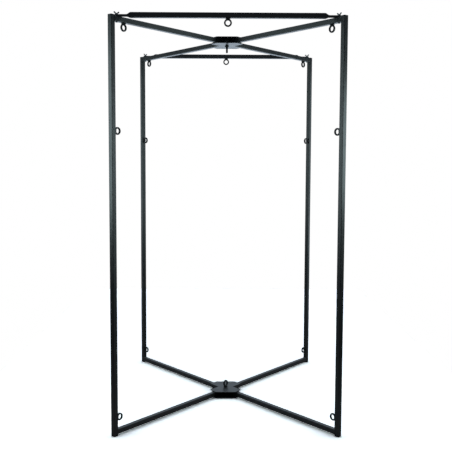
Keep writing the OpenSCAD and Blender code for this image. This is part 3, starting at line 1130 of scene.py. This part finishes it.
def add_side_box(name, side, depths, heights, radiance):
    """Soft box at one side that fills a range of depths and a range of heights."""
    light = settings().light
    spot = (side * light.side_reach, sum(depths) / 2, sum(heights) / 2)
    turn = (0.0, side * math.pi / 2, 0.0)
    size = (heights[1] - heights[0], depths[1] - depths[0])
    add_soft_box(name, spot, turn, size, radiance, light.side_tint)


def make_lights():
    """Keys beside the front posts, dim walls behind them, a box above and a weak fill in front."""
    light = settings().light
    left_split, right_split = light.splits
    add_side_box("left_key", -1, (light.key_front, left_split), light.left_key_rise, light.left_key)
    add_side_box("right_key", 1, (light.key_front, right_split), light.right_key_rise, light.right_key)
    side_top, rear_top = light.wall_tops
    walls = list(zip(("left", "right"), (-1, 1), light.splits, light.wall_feet))
    for name, side, split, foot in walls:
        add_side_box(name + "_wall", side, (split, light.rear_walls[0]), (foot, side_top), light.side_walls)
    for name, side, split, foot in walls:
        add_side_box(name + "_rear_wall", side, light.rear_walls, (foot, rear_top), light.side_walls)
    down, forward = (0.0, 0.0, 0.0), (math.pi / 2, 0.0, 0.0)
    above, before = (0.0, *light.top_middle), (0.0, *light.fill_middle)
    add_soft_box("top_box", above, down, light.top_size, light.top_light, light.cool)
    add_soft_box("front_fill", before, forward, light.fill_size, light.front_fill, light.cool)


def make_camera():
    """Camera at the photograph's viewing angle."""
    view = settings().camera
    aim = Matrix.Rotation(-view.yaw, 4, "Z")
    aim = aim @ Matrix.Rotation(math.pi / 2 - view.pitch, 4, "X")
    aim = aim @ Matrix.Rotation(view.roll, 4, "Z")
    bpy.ops.object.camera_add(location=(view.x, view.y, view.z), rotation=aim.to_euler())
    camera = bpy.context.object
    camera.data.lens = view.lens
    camera.data.sensor_width = view.sensor
    bpy.context.scene.camera = camera


class TUBEFRAME_OT_stage(bpy.types.Operator):
    """Floor, studio light and the camera at the photograph's angle"""

    bl_idname = "tube_frame.stage"
    bl_label = "Stage"

    def execute(self, context):
        make_floor()
        make_world()
        make_lights()
        make_camera()
        context.scene.view_settings.view_transform = "Standard"
        return {"FINISHED"}


class TUBEFRAME_OT_uprights(bpy.types.Operator):
    """Posts and stubs"""

    bl_idname = "tube_frame.uprights"
    bl_label = "Uprights"

    def execute(self, context):
        make_uprights()
        return {"FINISHED"}


class TUBEFRAME_OT_arms(bpy.types.Operator):
    """Base and top arms with their welds"""

    bl_idname = "tube_frame.arms"
    bl_label = "Arms"

    def execute(self, context):
        make_arms()
        return {"FINISHED"}


class TUBEFRAME_OT_hubs(bpy.types.Operator):
    """Hub plates and sleeves"""

    bl_idname = "tube_frame.hubs"
    bl_label = "Hubs"

    def execute(self, context):
        make_hubs()
        return {"FINISHED"}


class TUBEFRAME_OT_top_bars(bpy.types.Operator):
    """Front and rear bars with pressed flat ends"""

    bl_idname = "tube_frame.top_bars"
    bl_label = "Top bars"

    def execute(self, context):
        make_top_bars()
        return {"FINISHED"}


class TUBEFRAME_OT_eyes(bpy.types.Operator):
    """Eye bolts on the bars, arms, posts, stubs and hubs"""

    bl_idname = "tube_frame.eyes"
    bl_label = "Eye bolts"

    def execute(self, context):
        make_eyes()
        return {"FINISHED"}


class TUBEFRAME_OT_wing_nuts(bpy.types.Operator):
    """Wing nuts, each on its own moving body"""

    bl_idname = "tube_frame.wing_nuts"
    bl_label = "Wing nuts"

    def execute(self, context):
        make_wing_nuts()
        return {"FINISHED"}


class TUBEFRAME_OT_clamp_fasteners(bpy.types.Operator):
    """Clamp bolts and washers"""

    bl_idname = "tube_frame.clamp_fasteners"
    bl_label = "Clamp fasteners"

    def execute(self, context):
        make_clamp_bolts()
        make_washers()
        return {"FINISHED"}


class TUBEFRAME_OT_plugs(bpy.types.Operator):
    """Caps on the posts and feet under the stubs"""

    bl_idname = "tube_frame.plugs"
    bl_label = "Caps and feet"

    def execute(self, context):
        make_plugs()
        return {"FINISHED"}


class TUBEFRAME_OT_inner_parts(bpy.types.Operator):
    """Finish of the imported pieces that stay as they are"""

    bl_idname = "tube_frame.inner_parts"
    bl_label = "Inner parts"

    def execute(self, context):
        for name, node in frame["nodes"].items():
            if not node.hide_render:
                node.data.materials[0] = material_of(SLOTS[name])
        return {"FINISHED"}


class TUBEFRAME_PT_panel(bpy.types.Panel):
    """Panel that lists the steps"""

    bl_idname = "TUBEFRAME_PT_panel"
    bl_label = "Tube Frame"
    bl_space_type = "VIEW_3D"
    bl_region_type = "UI"
    bl_category = "Tube Frame"

    def draw(self, context):
        for step in STEPS:
            self.layout.operator(step.bl_idname)


STEPS = (
    TUBEFRAME_OT_stage,
    TUBEFRAME_OT_uprights,
    TUBEFRAME_OT_arms,
    TUBEFRAME_OT_hubs,
    TUBEFRAME_OT_top_bars,
    TUBEFRAME_OT_eyes,
    TUBEFRAME_OT_wing_nuts,
    TUBEFRAME_OT_clamp_fasteners,
    TUBEFRAME_OT_plugs,
    TUBEFRAME_OT_inner_parts,
)
PIECES = (TubeSettings, BarSettings, EyeSettings, NutSettings, FinishColours)
STAGE = (CameraSettings, FloorSettings, LightSettings)
CLASSES = (*PIECES, *STAGE, FrameSettings, *STEPS, TUBEFRAME_PT_panel)


def register():
    """Register the classes and the scene's settings."""
    for item in CLASSES:
        bpy.utils.register_class(item)
    bpy.types.Scene.tube_frame = PointerProperty(type=FrameSettings)


def unregister():
    """Undo register."""
    del bpy.types.Scene.tube_frame
    for item in reversed(CLASSES):
        bpy.utils.unregister_class(item)


def main():
    """Run all steps in order."""
    register()
    for step in STEPS:
        group, name = step.bl_idname.split(".")
        getattr(getattr(bpy.ops, group), name)()


if __name__ == "__main__":
    main()
